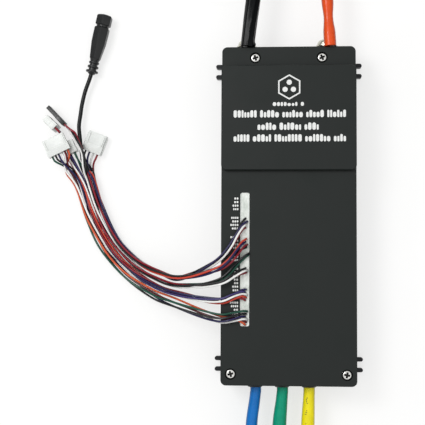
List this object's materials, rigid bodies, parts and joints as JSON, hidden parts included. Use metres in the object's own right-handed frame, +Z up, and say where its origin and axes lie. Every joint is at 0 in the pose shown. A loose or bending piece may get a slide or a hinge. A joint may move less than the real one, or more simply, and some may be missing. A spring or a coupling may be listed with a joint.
{
  "type": "electronic speed controller",
  "caption": "Flat rectangular motor speed controller with a stepped cover, screw-down battery leads, phase leads and a bundle of signal wires to small plugs.",
  "frame": {"origin": "centre of the case's flat underside", "axes": "+Z up through the cover, +Y towards the battery leads, +X to the right seen from above with the battery leads at the top; the signal slot is on the -X side"},
  "size_m": [0.1874, 0.3072, 0.0323],
  "materials": {
    "anodised_base": "matt black anodised, machined",
    "cover_plastic": "fine moulded texture",
    "screw_steel": "nickel plated",
    "thermal_silicone": "soft thermal pad",
    "aluminium_board": "metal core circuit board",
    "chip_black": "moulded epoxy",
    "copper": "bare copper",
    "can_aluminium": "drawn can",
    "can_sleeve": "shrunk sleeve",
    "tinned_wire": "tinned copper",
    "standoff_brass": "hexagon brass",
    "board_green": "solder mask",
    "pin_gold": "gold flash",
    "nylon_white": "natural nylon",
    "sealant_white": "cured silicone sealant",
    "plated_steel": "zinc plated",
    "silicone_red": "silicone insulation",
    "silicone_black": "ribbed black sleeve",
    "silicone_blue": "silicone insulation",
    "silicone_green": "silicone insulation",
    "silicone_yellow": "silicone insulation",
    "grommet_rubber": "moulded rubber",
    "wire_insulation": "thin coloured wires",
    "plug_black": "moulded nylon",
    "cable_black": "round jacket"
  },
  "bodies": {
    "case": {"heatsink_base": "anodised_base", "top_cover": "cover_plastic", "cover_screws": "screw_steel", "thermal_pad": "thermal_silicone", "power_board": "aluminium_board", "mosfets": "chip_black", "phase_busbars": "copper", "positive_terminal": "copper", "negative_terminal": "copper", "capacitor_cans": "can_aluminium", "capacitor_sleeves": "can_sleeve", "capacitor_leads": "tinned_wire", "current_sensors": "chip_black", "standoffs": "standoff_brass", "board_screws": "screw_steel", "control_board": "board_green", "processor_chip": "chip_black", "gate_drivers": "chip_black", "board_link_header": "chip_black", "board_link_pins": "pin_gold", "signal_headers": "nylon_white", "header_pins": "pin_gold", "signal_plugs": "nylon_white", "signal_wire_ends": "wire_insulation", "slot_sealant": "sealant_white", "terminal_bolts": "plated_steel", "terminal_washers": "plated_steel", "cable_lugs": "tinned_wire", "conductor_stubs": "copper", "phase_lead_stubs": "silicone_blue", "phase_grommets": "grommet_rubber", "positive_sleeve": "silicone_red", "negative_sleeve": "silicone_black"},
    "negative_cable": {"negative_lead": "silicone_black", "negative_core": "tinned_wire"},
    "positive_cable": {"positive_lead": "silicone_red", "positive_core": "tinned_wire"},
    "blue_cable": {"blue_lead": "silicone_blue", "blue_core": "tinned_wire"},
    "green_cable": {"green_lead": "silicone_green", "green_core": "tinned_wire"},
    "yellow_cable": {"yellow_lead": "silicone_yellow", "yellow_core": "tinned_wire"},
    "signal_harness": {"comm_loom": "wire_insulation", "display_loom": "wire_insulation", "sensor_loom": "wire_insulation", "throttle_loom": "wire_insulation", "switch_loom": "wire_insulation", "hall_loom": "wire_insulation", "comm_plug": "nylon_white", "sensor_plug": "nylon_white", "throttle_plug": "plug_black", "switch_plug": "nylon_white", "hall_plug": "nylon_white", "display_cable_root": "cable_black"},
    "display_lead": {"display_cable": "cable_black", "display_plug_shell": "plug_black", "display_plug_insert": "plug_black", "display_plug_boot": "plug_black"}
  },
  "joints": [
    {"name": "negative_flex", "type": "hinge", "parent": "case", "child": "negative_cable", "pos_m": [-0.02199, 0.11101, 0.0216], "axis": [0.9936, -0.1132, 0], "range_deg": [-45, 60], "stiffness_Nm_per_rad": 0.06},
    {"name": "positive_flex", "type": "hinge", "parent": "case", "child": "positive_cable", "pos_m": [0.0227, 0.11037, 0.0216], "axis": [0.9978, 0.0663, 0], "range_deg": [-45, 60], "stiffness_Nm_per_rad": 0.06},
    {"name": "blue_flex", "type": "hinge", "parent": "case", "child": "blue_cable", "pos_m": [-0.0189, -0.1029, 0.014], "axis": [-0.9945, 0.1045, 0], "range_deg": [-45, 60], "stiffness_Nm_per_rad": 0.06},
    {"name": "green_flex", "type": "hinge", "parent": "case", "child": "green_cable", "pos_m": [-0.0037, -0.1029, 0.014], "axis": [-0.9969, 0.0785, 0], "range_deg": [-45, 60], "stiffness_Nm_per_rad": 0.06},
    {"name": "yellow_flex", "type": "hinge", "parent": "case", "child": "yellow_cable", "pos_m": [0.0115, -0.1029, 0.014], "axis": [-0.9994, 0.0349, 0], "range_deg": [-45, 60], "stiffness_Nm_per_rad": 0.06},
    {"name": "harness_lift", "type": "hinge", "parent": "case", "child": "signal_harness", "pos_m": [-0.0256, -0.03, 0.027], "axis": [0, 1, 0], "range_deg": [0, 80]},
    {"name": "display_cable_swing", "type": "hinge", "parent": "signal_harness", "child": "display_lead", "pos_m": [-0.123, 0.06, 0.0044], "axis": [0, 0, 1], "range_deg": [-40, 40], "stiffness_Nm_per_rad": 0.01}
  ]
}
